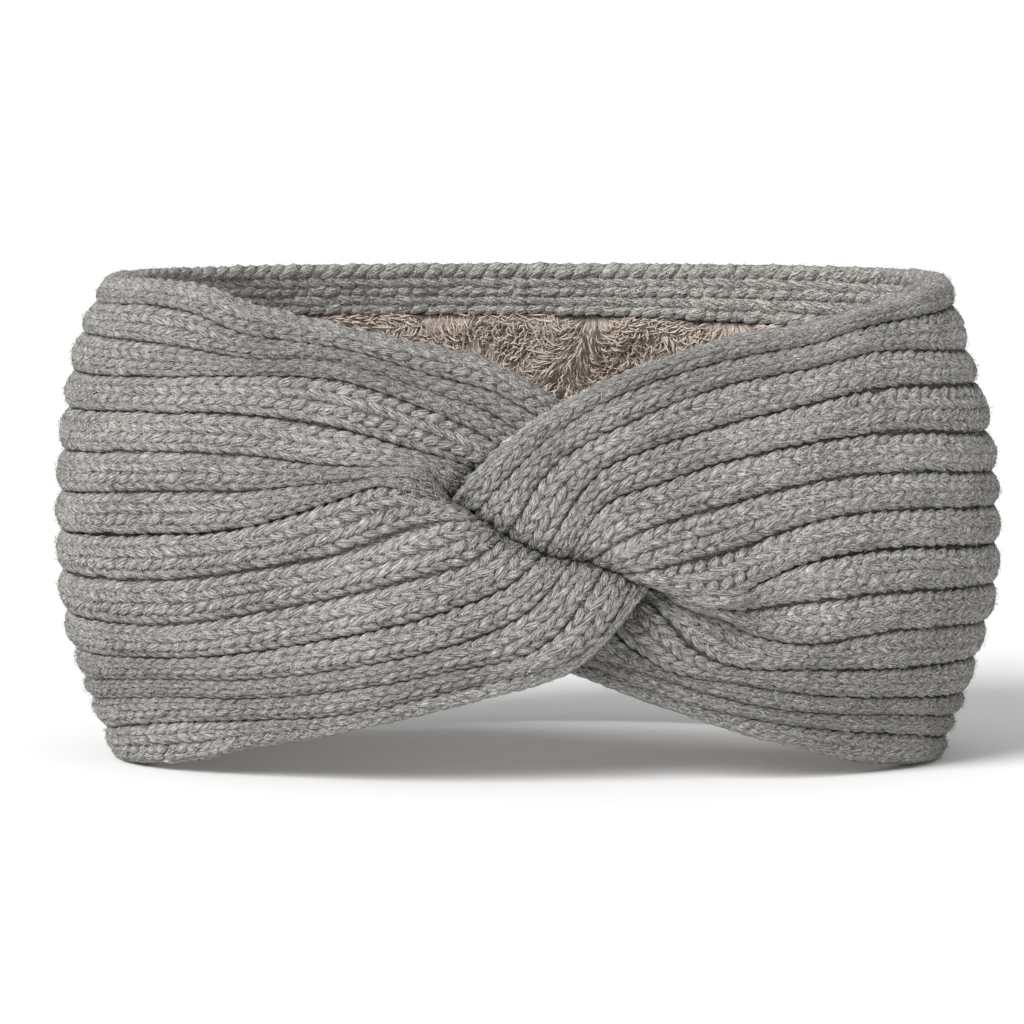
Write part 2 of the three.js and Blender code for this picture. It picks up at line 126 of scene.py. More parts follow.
# The grooves between the ribs, from the upper rim to the lower one, each from the side of the
# band to its end in the twist. side, near and fore are heights at 1, NEAR and FORE across, and
# mid, turn and bend are points (across, up). A groove of an arm that passes over ends on the
# crease, at a share of its length, and any other ends at a point hidden under the other arm.
NEAR = 0.8
FORE = 0.6
GROOVE_COLUMNS = ("side", "near", "fore", "mid", "turn", "bend", "end")
RIGHT_GROOVES = [
    (1.0, 0.959, 0.921, (0.4, 0.899), (0.143, 0.816), (-0.051, 0.696), {"crease": 0, "thin": True}),
    (0.937, 0.919, 0.881, (0.4, 0.852), (0.184, 0.792), (0.02, 0.69), {"crease": 0.12, "thin": True}),
    (0.841, 0.862, 0.835, (0.4, 0.804), (0.225, 0.746), (0.053, 0.656), {"crease": 0.3, "thin": True}),
    (0.777, 0.791, 0.764, (0.4, 0.726), (0.225, 0.678), (0.123, 0.616), {"crease": 0.48, "thin": True}),
    (0.673, 0.699, 0.687, (0.4, 0.654), (0.266, 0.616), (0.153, 0.572), {"crease": 0.58, "thin": True}),
    (0.594, 0.619, 0.61, (0.4, 0.567), (0.266, 0.534), (0.184, 0.5), {"crease": 0.68}),
    (0.525, 0.546, 0.531, (0.4, 0.472), (0.307, 0.456), (0.256, 0.446), {"crease": 0.82}),
    (0.446, 0.468, 0.451, (0.49, 0.411), (0.44, 0.385), (0.348, 0.388), {"crease": 0.93}),
    (0.365, 0.378, 0.369, (0.43, 0.357), (0.348, 0.372), (0.297, 0.388), {"crease": 1}),
    (0.286, 0.301, 0.279, (0.48, 0.302), (0.43, 0.336), (0.348, 0.356), {"hidden": (0.266, 0.396)}),
    (0.215, 0.218, 0.228, (0.43, 0.235), (0.348, 0.272), (0.286, 0.338), {"hidden": (0.225, 0.398)}),
    (0.136, 0.156, 0.175, (0.43, 0.205), (0.307, 0.222), (0.204, 0.282), {"hidden": (0.143, 0.346)}),
    (0.09, 0.123, 0.139, (0.43, 0.169), (0.307, 0.206), (0.153, 0.25), {"hidden": (0.061, 0.302)}),
    (0.045, 0.083, 0.109, (0.43, 0.141), (0.266, 0.182), (0.123, 0.246), {"hidden": (0.01, 0.282)}),
    (0, 0.02, 0.065, (0.43, 0.109), (0.225, 0.18), (0.092, 0.228), {"hidden": (-0.02, 0.258)}),
]
LEFT_GROOVES = [
    (1.0, 1.0, 0.962, (-0.4, 0.927), (-0.184, 0.884), (-0.061, 0.85), {"hidden": (0.143, 0.732)}),
    (0.941, 0.949, 0.901, (-0.4, 0.878), (-0.184, 0.82), (-0.061, 0.786), {"hidden": (0.082, 0.702)}),
    (0.883, 0.876, 0.855, (-0.4, 0.852), (-0.184, 0.786), (-0.082, 0.752), {"hidden": (0.041, 0.672)}),
    (0.801, 0.811, 0.822, (-0.4, 0.818), (-0.225, 0.764), (-0.102, 0.712), {"hidden": (0, 0.646)}),
    (0.729, 0.74, 0.743, (-0.4, 0.718), (-0.225, 0.668), (-0.133, 0.644), {"hidden": (-0.1, 0.622)}),
    (0.639, 0.661, 0.662, (-0.4, 0.644), (-0.225, 0.646), (-0.19, 0.62), {"crease": 0}),
    (0.554, 0.581, 0.591, (-0.4, 0.614), (-0.266, 0.628), (-0.194, 0.606), {"crease": 0.03}),
    (0.473, 0.494, 0.515, (-0.4, 0.578), (-0.317, 0.612), (-0.225, 0.592), {"crease": 0.06}),
    (0.392, 0.4, 0.427, (-0.4, 0.466), (-0.225, 0.528), (-0.153, 0.544), {"crease": 0.2}),
    (0.307, 0.309, 0.339, (-0.4, 0.38), (-0.225, 0.424), (-0.123, 0.456), {"crease": 0.3}),
    (0.23, 0.241, 0.262, (-0.4, 0.3), (-0.225, 0.342), (-0.061, 0.402), {"crease": 0.5, "thin": True}),
    (0.167, 0.198, 0.207, (-0.4, 0.234), (-0.184, 0.282), (-0.02, 0.348), {"crease": 0.63, "thin": True}),
    (0.128, 0.161, 0.169, (-0.4, 0.192), (-0.184, 0.234), (0.02, 0.286), {"crease": 0.78, "thin": True}),
    (0.065, 0.107, 0.124, (-0.4, 0.142), (-0.184, 0.192), (0.102, 0.272), {"crease": 0.93, "thin": True}),
    (0, 0.022, 0.067, (-0.4, 0.105), (-0.102, 0.184), (0.092, 0.246), {"crease": 1, "thin": True}),
]
RIBS = len(RIGHT_GROOVES) - 1

# Stations count the points of a groove's curve, from 0 at its side to 6 at its end.
LAST_STATION = 6
LIFT_STATIONS = (2.3, 4.2)
HEM_STATIONS = (2.2, 3.6)
LINING_STATION = 3
CREASE_NEARBY = 0.05
PLAN_STEPS = 1200
CREASE_CUTS = 12
FRONT_COLUMNS = 120
FRONT_CROWDING = 1.35
BACK_COLUMNS = 70
LINING_MIDDLE_COLUMNS = 30

# The stitches. Lengths, widths and heights are of one leg of a stitch.
STITCH = 0.00335  # along a rib, from one stitch to the next
RIB_WIDTH = HEIGHT / RIBS
GROOVE_DEPTH = 0.0024  # how far the legs beside a groove lie under the crest
GROOVE_POWER = 0.5  # less makes the grooves narrower
BACKING_DEPTH = 0.0011  # crest to the fabric behind the legs
BACKING_GROOVE = 0.0026  # how much deeper that is in a groove
BACKING_POWER = 0.4
RIM_BACKING = 0.0015  # from the rim to the fabric behind its legs
RIM_RIBS = 0.25  # the rim's rounding, in ribs
# Rows of legs: (across, slant, length, width, height). across, slant and width are shares of a
# rib, and a positive slant falls to the right.
LEGS = [
    (0.165, -0.23, 0.0058, 0.31, 0.0022),
    (0.38, 0.19, 0.0060, 0.29, 0.0021),
    (0.625, -0.24, 0.0058, 0.32, 0.0022),
    (0.835, 0.16, 0.0060, 0.28, 0.0021),
]
HEM_LEGS = [
    (0.69, -0.30, 0.0064, 0.42, 0.0018),
    (1.00, 0.30, 0.0064, 0.41, 0.0018),
    (1.33, -0.30, 0.0064, 0.42, 0.0018),
    (1.65, 0.26, 0.0064, 0.40, 0.0018),
]
RIM_ARC = 1.1  # the length round the rim, from outside to inside, in ribs
RIM_LEGS = [
    (0.10, 0.24, 0.0058, 0.36, 0.0021),
    (0.38, -0.24, 0.0058, 0.36, 0.0021),
    (0.64, 0.24, 0.0058, 0.36, 0.0021),
    (0.98, 0.24, 0.0058, 0.36, 0.0021),
]
RIM_LOOPS = (0.34, 0.50, 0.0062, 0.42, 0.0019)  # the first row of the hem's face
RIM_SINK = 0.0006  # the rim's legs lie this much lower at the back
RIM_SINK_REACH = 0.5  # full from this share of the way from side to back
VALLEY = {"depth": 0.0034, "width": 0.0095}  # the knit dips this much more at the crease
CREASE_CLEAR = 0.0042  # the legs stop this far before the crease
CREASE_RAGGED = (0.8, 1.2)
# painted shade: the yarn darkens towards the crease, where the fold lies in shadow
CREASE_PAINTED_SHADE = 2.8  # how much darker the yarn gets towards the crease
FADE = {"share": 0.62, "from": 0.004, "to": 0.024}  # the grooves get shallow towards the crease
# painted light: the hem's yarn is lit up in its colour, as if more light reached the inside
HEM_PAINTED_LIGHT = 1.1  # how much lighter the hem's yarn is
HEM_CALM = 0.9
GROOVE_CLEAR = 0.07  # no loose fibre starts this near a groove, in ribs
LEG_STATIONS = np.array([-1, -0.6, 0.0, 0.55, 1])  # along a leg, from its left to its right end
LEG_FATNESS = np.array([0, 0.85, 1, 0.82, 0])
LEG_DIP = np.array([1.5, 0.25, 0.0, 0.3, 1.4]) * 0.001
# painted shade along a leg: dark at its tips, where it dips under its neighbours, and a little painted
# light in its middle
LEG_PAINTED_SHADE = np.array([-3.4, -0.4, 0.25, -0.2, -2.4])
LEG_SIDES = 5
NARROW = (0.35, 1.15)  # how far a leg's width follows its rib's
SPAN_STEP = 0.3  # in ribs, either side, to measure a rib's width
NORMAL_STEP = 0.06
# How much legs differ from each other. Lengths are in metres.
LEG_JITTER = {
    "length": 0.04,
    "along": 0.00012,
    "slant": 0.08,
    "across": 0.012,
    "dip": 0.1,
    "lift": 0.00009,
    "fatness": 0.07,
}

# Where the fuzz hides the stitches, they are calm: flatter, wider and with less painted shade.
CALM = {"left": (0.84, 1.0), "right": (0.22, 0.5)}  # from and to, across
CALM_FLATTER = 0.92
CALM_WIDER = 0.16
# how much of the legs' painted shade the calm takes away
CALM_EVENER = 0.9
CALM_SHIFT = 0.05  # their rows draw in from the grooves


def mix(a, b, share):
    return a + (b - a) * share


def smooth(start, end, value):
    t = np.clip((value - start) / (end - start), 0, 1)
    return t * t * (3 - 2 * t)


def unit(vectors):
    return vectors / np.maximum(np.linalg.norm(vectors, axis=-1, keepdims=True), 1e-12)


def plan_quarter():
    """One quarter of the band seen from above: distance from the front middle, x, depth."""
    turn = np.linspace(0, math.pi / 2, PLAN_STEPS + 1)
    x = HALF_WIDTH * np.sin(turn) ** (2 / ROUNDNESS)
    y = HALF_DEPTH * np.abs(np.cos(turn)) ** (2 / ROUNDNESS)
    return np.concatenate([[0], np.cumsum(np.hypot(np.diff(x), np.diff(y)))]), x, y


PLAN_LENGTH, PLAN_X, PLAN_Y = plan_quarter()
QUARTER = PLAN_LENGTH[-1]
BARREL_UP, BARREL_LEFT, BARREL_RIGHT = np.array(BARREL).T


def length_at(across):
    """Distance along the plan from the middle of the front, minus to the left."""
    return math.copysign(np.interp(abs(across) * HALF_WIDTH, PLAN_X, PLAN_LENGTH), across)


def place(along, up, out):
    """Points of the band, given along the plan, up, and out from the crests of the ribs."""
    distance = np.abs(along)
    back = distance > QUARTER
    in_quarter = np.where(back, 2 * QUARTER - distance, distance)
    x = np.interp(in_quarter, PLAN_LENGTH, PLAN_X)
    y = np.interp(in_quarter, PLAN_LENGTH, PLAN_Y)
    nx = (x / HALF_WIDTH) ** (ROUNDNESS - 1) / HALF_WIDTH
    ny = (y / HALF_DEPTH) ** (ROUNDNESS - 1) / HALF_DEPTH
    size = np.hypot(nx, ny)
    right = np.where(along < 0, -1, 1)
    inset_left = np.interp(up / HEIGHT, BARREL_UP, BARREL_LEFT)
    inset_right = np.interp(up / HEIGHT, BARREL_UP, BARREL_RIGHT)
    inset = RIM_INSET * mix(inset_left, inset_right, smooth(-HALF_WIDTH / 2, HALF_WIDTH / 2, right * x))
    sideways = smooth(length_at(FRONT_INSET["from"]), length_at(FRONT_INSET["to"]), distance)
    shift = out - inset * mix(FRONT_INSET["share"], 1, sideways)
    behind = np.where(back, 1, -1)
    return np.stack([right * (x + shift * nx / size), behind * (y + shift * ny / size), up + 0 * x], -1)


def spline(knots, stations, starts_level):
    """A smooth curve through points (along, up) that lie one station apart."""
    knots = np.asarray(knots, float)
    last = len(knots) - 1
    slopes = np.empty_like(knots)
    slopes[1:-1] = (knots[2:] - knots[:-2]) / 2
    slopes[0] = knots[1] - knots[0]
    slopes[-1] = knots[-1] - knots[-2]
    if starts_level:
        slopes[0, 1] = 0
    i = np.minimum(np.floor(stations).astype(int), last - 1)
    t = (stations - i)[:, None]
    return (
        knots[i] * (2 * t**3 - 3 * t**2 + 1)
        + slopes[i] * (t**3 - 2 * t**2 + t)
        + knots[i + 1] * (3 * t**2 - 2 * t**3)
        + slopes[i + 1] * (t**3 - t**2)
    )


def crease_table():
    knots = [(length_at(across), up * HEIGHT) for across, up in CREASE]
    points = spline(knots, np.linspace(0, len(knots) - 1, CREASE_CUTS * (len(knots) - 1) + 1), False)
    steps = np.linalg.norm(np.diff(points, axis=0), axis=1)
    return np.concatenate([[0], np.cumsum(steps)]), points


CREASE_LENGTH, CREASE_POINTS = crease_table()


def crease_point(share, arm):
    """Where a groove of the right (1) or left (-1) arm ends, just past the crease."""

    def point(at):
        at = min(max(at, 0), 1) * CREASE_LENGTH[-1]
        return np.array([np.interp(at, CREASE_LENGTH, CREASE_POINTS[:, i]) for i in range(2)])

    run = point(share + CREASE_NEARBY) - point(share - CREASE_NEARBY)
    run /= np.linalg.norm(run)
    return point(share) + arm * SEAM_OVERLAP * np.array([run[1], -run[0]])


class Half:
    """One half of the knit as a table of columns: from the middle of the back to the crease."""

    def __init__(self, arm, grooves):
        self.arm = arm
        back = np.linspace(1, 0, BACK_COLUMNS + 1)[:-1]
        front = LAST_STATION * (1 - np.linspace(1, 0, FRONT_COLUMNS + 1) ** FRONT_CROWDING)
        self.back = np.concatenate([back, np.zeros(len(front))])
        self.station = np.concatenate([np.zeros(len(back)), front])
        self.columns = len(self.station)
        lines = [self.line(dict(zip(GROOVE_COLUMNS, row)), i) for i, row in enumerate(grooves)]
        self.table = np.stack(lines)  # groove, column, field

    def line(self, groove, index):
        """A groove at every column: along, up, its outside, inside and hem, and its relief."""
        end = groove["end"]
        over = "crease" in end
        if over:
            last = crease_point(end["crease"], self.arm)
        else:
            last = (length_at(end["hidden"][0]), end["hidden"][1] * HEIGHT)
        inward = (groove["mid"], groove["turn"], groove["bend"])
        knots = [
            (self.arm * QUARTER, groove["side"] * HEIGHT),
            (self.arm * length_at(NEAR), groove["near"] * HEIGHT),
            (self.arm * length_at(FORE), groove["fore"] * HEIGHT),
            *[(length_at(across), up * HEIGHT) for across, up in inward],
            last,
        ]
        along, up = spline(knots, self.station, True).T
        evenly = mix(1, BACK_RISE, index / RIBS) * HEIGHT
        up = mix(up, evenly, smooth(REST_BACK, 1, self.back))
        along = along + self.arm * self.back * QUARTER
        steps = np.hypot(np.diff(along), np.diff(up))
        to_end = np.concatenate([np.cumsum(steps[::-1])[::-1], [0]])
        rise = smooth(*LIFT_STATIONS, self.station)
        turned = np.maximum(SHOULDER - to_end, 0) if over else 0 * to_end
        drop = SHOULDER - np.sqrt(SHOULDER**2 - turned**2)
        if over:
            drop = drop + VALLEY["depth"] * (1 - smooth(0, VALLEY["width"], to_end))
        outside = (LIFT if over else -SINK) * rise - drop
        hollow = -WALL + LIFT * rise if end.get("thin") else -WALL - SINK * rise
        inside = mix(hollow, -WALL - SINK, turned / SHOULDER)
        hem = inside - HEM_THICKNESS * (1 - smooth(*HEM_STATIONS, self.station))
        if index == RIBS:
            up = np.maximum(up - FLAT_LIFT, 0)
        relief = 1 - FADE["share"] * over * (1 - smooth(FADE["from"], FADE["to"], to_end))
        return np.stack([along, up, outside, inside, hem, relief], -1)

    def at(self, ribs, column):
        """along, up, outside, inside, hem and relief at places counted in ribs and columns."""
        ribs, column = np.broadcast_arrays(np.clip(ribs, 0, RIBS), np.clip(column, 0, self.columns - 1))
        i = np.minimum(ribs.astype(int), RIBS - 1)
        j = np.minimum(column.astype(int), self.columns - 2)
        s, t = (ribs - i)[..., None], (column - j)[..., None]
        upper = mix(self.table[i, j], self.table[i, j + 1], t)
        lower = mix(self.table[i + 1, j], self.table[i + 1, j + 1], t)
        return np.moveaxis(mix(upper, lower, s), -1, 0)

    def outer(self, ribs, column, lift):
        """Points on the outside, with the ribs' own relief."""
        along, up, outside, _, _, relief = self.at(ribs, column)
        return place(along, up, outside - GROOVE_DEPTH * relief * groove_share(ribs, GROOVE_POWER) + lift)

    def inner(self, ribs, column, lift):
        """Points on the hem's face, inside the band."""
        along, up, _, _, hem, _ = self.at(ribs, column)
        return place(along, up, hem - lift)

    def rim(self, top, turn, column, lift):
        """Points on the rounded upper or lower rim: turn 0 is outside and pi is inside."""
        end, begin = (0, RIM_RIBS) if top else (RIBS, RIBS - RIM_RIBS)
        along, low, outside, _, hem, _ = self.at(begin, column)
        along_end, high, *_ = self.at(end, column)
        rise = np.sin(turn)
        half = (outside - hem) / 2 + lift
        up = mix(low, high, rise) + (lift if top else -lift) * rise
        return place(mix(along, along_end, rise), up, (outside + hem) / 2 + half * np.cos(turn))


def groove_share(ribs, power):
    """0 on the crest of a rib and 1 in the groove beside it."""
    return 1 - np.abs(np.sin(math.pi * ribs)) ** power


HALVES = [Half(1, RIGHT_GROOVES), Half(-1, LEFT_GROOVES)]


def row_arc(half, face, ribs):
    """The length along a row at every column, from the middle of the back."""
    points = face(ribs, np.arange(half.columns), 0)
    return np.concatenate([[0], np.cumsum(np.linalg.norm(np.diff(points, axis=0), axis=1))])


TONE_SPREAD = 0.3  # how much strands differ in tone
UV_SPREAD = (37.3, 11.7)  # how far apart strands lie in the yarn's streaks


class Strands:
    """Closed strands of one kind, which become one mesh."""

    def __init__(self):
        self.points, self.faces, self.uvs, self.tones, self.count = [], [], [], [], 0

    def add(self, axis, outward, width, height, sides, tone, shade):
        """axis is strands x stations x 3; its first and last stations are the tips."""
        strands, stations, _ = axis.shape
        rings = stations - 2
        run = np.empty_like(axis)
        run[:, 1:-1] = axis[:, 2:] - axis[:, :-2]
        run[:, 0] = axis[:, 1] - axis[:, 0]
        run[:, -1] = axis[:, -1] - axis[:, -2]
        run = unit(run)
        outward = np.broadcast_to(outward, axis.shape)
        width, height = (np.broadcast_to(size, axis.shape[:2]) for size in (width, height))
        across = unit(np.cross(run, outward))
        upward = np.cross(across, run)
        turn = 2 * math.pi * np.arange(sides) / sides
        ring = (
            axis[:, 1:-1, None]
            + across[:, 1:-1, None] * (width[:, 1:-1, None] / 2 * np.sin(turn))[..., None]
            - upward[:, 1:-1, None] * (height[:, 1:-1, None] / 2 * np.cos(turn))[..., None]
        )
        per = 2 + rings * sides
        points = np.concatenate([axis[:, :1], axis[:, -1:], ring.reshape(strands, rings * sides, 3)], 1)
        faces = spindle_faces(rings, sides)
        self.points.append(points.reshape(-1, 3))
        offsets = self.count + per * np.arange(strands)
        self.faces.append((faces[None] + offsets[:, None, None]).reshape(-1, 3))
        share = np.linspace(0, 1, stations)
        u = np.concatenate([[share[0], share[-1]], np.repeat(share[1:-1], sides)])
        v = np.concatenate([[0.5, 0.5], np.tile(np.arange(sides) / sides, rings)])
        uv = np.stack([np.broadcast_to(u, (strands, per)), np.broadcast_to(v, (strands, per))], -1)
        uv = uv + np.stack([spread * tone for spread in UV_SPREAD], -1)[:, None]
        self.uvs.append(uv.reshape(-1, 2))
        # shade is added to each strand's random tone at every station: painted shade and light, and for
        # the lying fibres a random tone
        shade = np.broadcast_to(shade, (strands, stations))
        ring_shades = np.repeat(shade[:, 1:-1], sides, axis=1)
        shades = np.concatenate([shade[:, :1], shade[:, -1:], ring_shades], 1)
        self.tones.append((TONE_SPREAD * tone[:, None] + shades).ravel())
        self.count += strands * per

    def mesh(self, name, material):
        return make_mesh(
            name,
            np.concatenate(self.points),
            np.concatenate(self.faces),
            material,
            np.concatenate(self.uvs),
            np.concatenate(self.tones),
        )


def spindle_faces(rings, sides):
    """The triangles of one strand: vertices 0 and 1 are its tips, then come its rings."""

    def at(ring, side):
        return 2 + ring * sides + side % sides

    faces = []
    for side in range(sides):
        faces.append((0, at(0, side + 1), at(0, side)))
        faces.append((1, at(rings - 1, side), at(rings - 1, side + 1)))
        for ring in range(rings - 1):
            faces.append((at(ring, side), at(ring, side + 1), at(ring + 1, side + 1)))
            faces.append((at(ring, side), at(ring + 1, side + 1), at(ring + 1, side)))
    return np.array(faces)


def turned_out(points, faces):
    """The faces, turned over if they face inwards."""
    a, b, c = (points[faces[:, i]] for i in range(3))
    volume = np.einsum("ij,ij->i", a, np.cross(b, c)).sum()
    return faces if volume > 0 else faces[:, ::-1]


def make_mesh(name, points, faces, material, uvs=None, tones=None):
    """A mesh in the frame, above the surface that it rests on, riding the body."""
    faces = turned_out(points, faces)
    points = points + SHIFT
    points[:, 2] = np.maximum(points[:, 2], 0)
    mesh = bpy.data.meshes.new(name)
    mesh.vertices.add(len(points))
    mesh.vertices.foreach_set("co", points.ravel().astype(np.float32))
    mesh.loops.add(faces.size)
    mesh.loops.foreach_set("vertex_index", faces.ravel().astype(np.int32))
    mesh.polygons.add(len(faces))
    mesh.polygons.foreach_set("loop_start", np.arange(0, faces.size, 3, dtype=np.int32))
    if uvs is not None:
        layer = mesh.uv_layers.new(name="yarn")
        layer.data.foreach_set("uv", uvs[faces.ravel()].ravel().astype(np.float32))
    if tones is not None:
        tone = mesh.attributes.new("tone", "FLOAT", "POINT")
        tone.data.foreach_set("value", tones.astype(np.float32))
    mesh.update(calc_edges=True)
    mesh.validate()
    mesh.shade_smooth()
    mesh.materials.append(material)
    obj = bpy.data.objects.new(name, mesh)
    bpy.context.scene.collection.objects.link(obj)
    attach(obj, BODY)
    return obj


def legs(strands, half, face, ribs, table, rng, light=0.0, least_calm=0.0):
    """Rows of legs. ribs is where the table's rib starts, and light is painted light, which makes the
    yarn lighter.
    """
    direction = -half.arm  # a leg runs from left to right, and centres from the back
    for across, slant, length, width, height in table:
        row = ribs + across
        arc = row_arc(half, face, row)
        count = int(arc[-1] / STITCH)
        centres = (np.arange(count) + 0.5) * STITCH
        centres = centres[centres < arc[-1] - CREASE_CLEAR * rng.uniform(*CREASE_RAGGED)]
        count = len(centres)
        here = np.interp(centres, arc, np.arange(half.columns))
        calm = np.maximum(calmness(face(row, here, 0)), least_calm)[:, None]
        # painted shade towards the crease
        crease_shade = -CREASE_PAINTED_SHADE * (1 - smooth(0, VALLEY["width"], arc[-1] - centres))[:, None]

        def jitter(kind):
            return rng.normal(0, LEG_JITTER[kind], (count, 1))

        station = LEG_STATIONS * (1 + jitter("length"))
        at = centres[:, None] + direction * station * length / 2 + jitter("along")
        column = np.interp(at, arc, np.arange(half.columns))
        drawn_in = (0.5 - across) * CALM_SHIFT * calm if face == half.outer else 0
        aslant = station * slant / 2 * (1 + jitter("slant"))
        place_across = row + drawn_in + aslant + jitter("across")
        dip = LEG_DIP * (1 + jitter("dip")) * (1 - CALM_FLATTER * calm)
        axis = face(place_across, column, -dip - height / 2 + jitter("lift"))
        normal = face_normal(face, row, here)
        across_rib = face(row + SPAN_STEP, here, 0) - face(row - SPAN_STEP, here, 0)
        span = np.linalg.norm(across_rib, axis=-1) / (2 * SPAN_STEP)
        narrow = np.clip(span / RIB_WIDTH, *NARROW)[:, None]
        fat = LEG_FATNESS * (1 + jitter("fatness"))
        # the legs' tones carry painted shade at their tips and towards the crease, less of it where calm,
        # and painted light on the hem
        strands.add(
            axis,
            normal[:, None],
            fat * width * RIB_WIDTH * narrow * (1 + CALM_WIDER * calm),
            fat * height * np.sqrt(narrow),
            LEG_SIDES,
            rng.uniform(0, 1, count),
            LEG_PAINTED_SHADE * (1 - CALM_EVENER * calm) + light + crease_shade,
        )


def face_normal(face, ribs, column):
    """The directions that point out of a face."""
    step = NORMAL_STEP
    run = face(ribs, column + step, 0) - face(ribs, column - step, 0)
    rise = face(ribs - step, column, 0) - face(ribs + step, column, 0)
    normal = unit(np.cross(run, rise))
    lifted = face(ribs, column, 0.001) - face(ribs, column, 0)
    return normal * np.sign((normal * lifted).sum(-1, keepdims=True))


def calmness(points):
    """How far the fuzz hides the stitches, from 0 to 1."""
    across = points[..., 0] / HALF_WIDTH
    return np.where(across > 0, smooth(*CALM["right"], across), smooth(*CALM["left"], -across))


def rim_face(half, top):
    """The rounded rim as a face: its rows run from outside to inside, in ribs."""

    def face(row, column, lift):
        to_back = np.interp(column, np.arange(half.columns), half.back)
        sunk = RIM_SINK * smooth(0, RIM_SINK_REACH, to_back) if top else 0
        turn = math.pi * row / RIM_ARC
        return half.rim(top, turn, column, lift - sunk * np.sin(turn))

    return face


def ladder(outer, inner, closed):
    """A closed body between an outer and an inner sheet of the same rows and columns."""
    rows, columns, _ = outer.shape
    index = np.arange(2 * rows * columns).reshape(2, rows, columns)
    faces = []

    def quads(a, b, c, d):
        a, b, c, d = (x.ravel() for x in (a, b, c, d))
        faces.append(np.stack([a, b, c], 1))
        faces.append(np.stack([a, c, d], 1))

    o, i = index
    if closed:
        o, i = (np.concatenate([x, x[:, :1]], 1) for x in (o, i))
    quads(o[:-1, :-1], o[:-1, 1:], o[1:, 1:], o[1:, :-1])
    quads(i[:-1, :-1], i[1:, :-1], i[1:, 1:], i[:-1, 1:])
    quads(i[0, :-1], i[0, 1:], o[0, 1:], o[0, :-1])
    quads(o[-1, :-1], o[-1, 1:], i[-1, 1:], i[-1, :-1])
    if not closed:
        quads(o[:-1, 0], o[1:, 0], i[1:, 0], i[:-1, 0])
        quads(o[:-1, -1], i[:-1, -1], i[1:, -1], o[1:, -1])
    return np.concatenate([outer.reshape(-1, 3), inner.reshape(-1, 3)]), np.concatenate(faces)


def both_halves(sheet):
    """Joins what sheet(half) gives at the middle of the back, into one strip."""
    right, left = (sheet(half) for half in HALVES)
    return np.concatenate([right[:, ::-1], left[:, 1:]], 1)


BACKING_CUTS = 8  # rows to a rib
BACKING_STRIDE = 3  # in columns
BACKING_GRAIN = 160  # streaks to a metre
# painted shade on the backing outside, darkest in the grooves, and a little painted light on its inside
BACKING_PAINTED_SHADE_AND_LIGHT = {"crest": -1.2, "groove": -2.3, "inside": 0.1}
HEM_BACKING = 0.0007  # the backing lies this far behind the hem's legs
RIM_CUTS = 5
RIM_BACKING_TURN = 0.45  # how far round the rim each side of it goes, of pi


def backing(material):
    """The fabric behind the legs: a strip from one side of the crease round to the other."""
    levels = np.linspace(RIM_RIBS, RIBS - RIM_RIBS, BACKING_CUTS * RIBS + 1)
    turns = np.linspace(RIM_BACKING_TURN, 0.0, RIM_CUTS)[:-1] * math.pi
    grooves = groove_share(levels, BACKING_POWER)

    def columns(half):
        last = half.columns - 1
        return np.concatenate([np.arange(0, last, BACKING_STRIDE), [last]])

    def outer(half):
        c = columns(half)
        rows = []
        for ribs, groove in zip(levels, grooves):
            along, up, outside, _, _, relief = half.at(ribs, c)
            deep = BACKING_DEPTH + BACKING_GROOVE * groove * relief
            rows.append(place(along, up, outside - deep))
        top = [half.rim(True, turn, c, -RIM_BACKING) for turn in turns]
        bottom = [half.rim(False, turn, c, -RIM_BACKING) for turn in turns[::-1]]
        return np.stack([*top, *rows, *bottom])

    def inner(half):
        c = columns(half)
        rows = []
        for ribs in levels:
            along, up, _, inside, hem, _ = half.at(ribs, c)
            near_rim = ribs < HEM_RIBS or ribs > RIBS - HEM_RIBS
            rows.append(place(along, up, hem + HEM_BACKING if near_rim else inside))
        top = [half.rim(True, math.pi - turn, c, -RIM_BACKING) for turn in turns]
        bottom = [half.rim(False, math.pi - turn, c, -RIM_BACKING) for turn in turns[::-1]]
        return np.stack([*top, *rows, *bottom])

    front, rear = both_halves(outer), both_halves(inner)
    points, faces = ladder(front, rear, False)

    def shade(half):
        c = columns(half)
        rows = [half.at(ribs, c)[-1] * groove for ribs, groove in zip(levels, grooves)]
        edge = np.zeros((len(turns), len(c)))
        return np.concatenate([edge, np.stack(rows), edge])

    # painted shade: the outside of the backing is darker, most of all in the grooves
    outside = mix(BACKING_PAINTED_SHADE_AND_LIGHT["crest"], BACKING_PAINTED_SHADE_AND_LIGHT["groove"], both_halves(shade))
    tones = np.stack([outside, np.full(rear.shape[:2], BACKING_PAINTED_SHADE_AND_LIGHT["inside"])])
    uvs = points[:, [0, 2]] * BACKING_GRAIN
    return make_mesh("knit_backing", points, faces, material, uvs, tones.ravel())


LINING_ROWS = 24
LINING_STRIDE = 2  # in columns
LINING_EDGE = {"from": 0.9, "thinner": 0.6}  # it thins over the last of its width
LINING_SKIN = 0.5  # how thick the backing of the plush is, of PILE
PLUSH_MESHES = 2
PLUSH_COUNT = 33000  # strands to a mesh
PLUSH_LENGTH = 0.0072
PLUSH_LENGTHS = (0.6, 1.25)  # of PLUSH_LENGTH
PLUSH_WIDTH = 0.00045
PLUSH_WIDTHS = (0.6, 1.4)  # of PLUSH_WIDTH
PLUSH_FLATNESS = 0.5
PLUSH_OVER = 0.0012  # the tips reach this far over the lining's edge
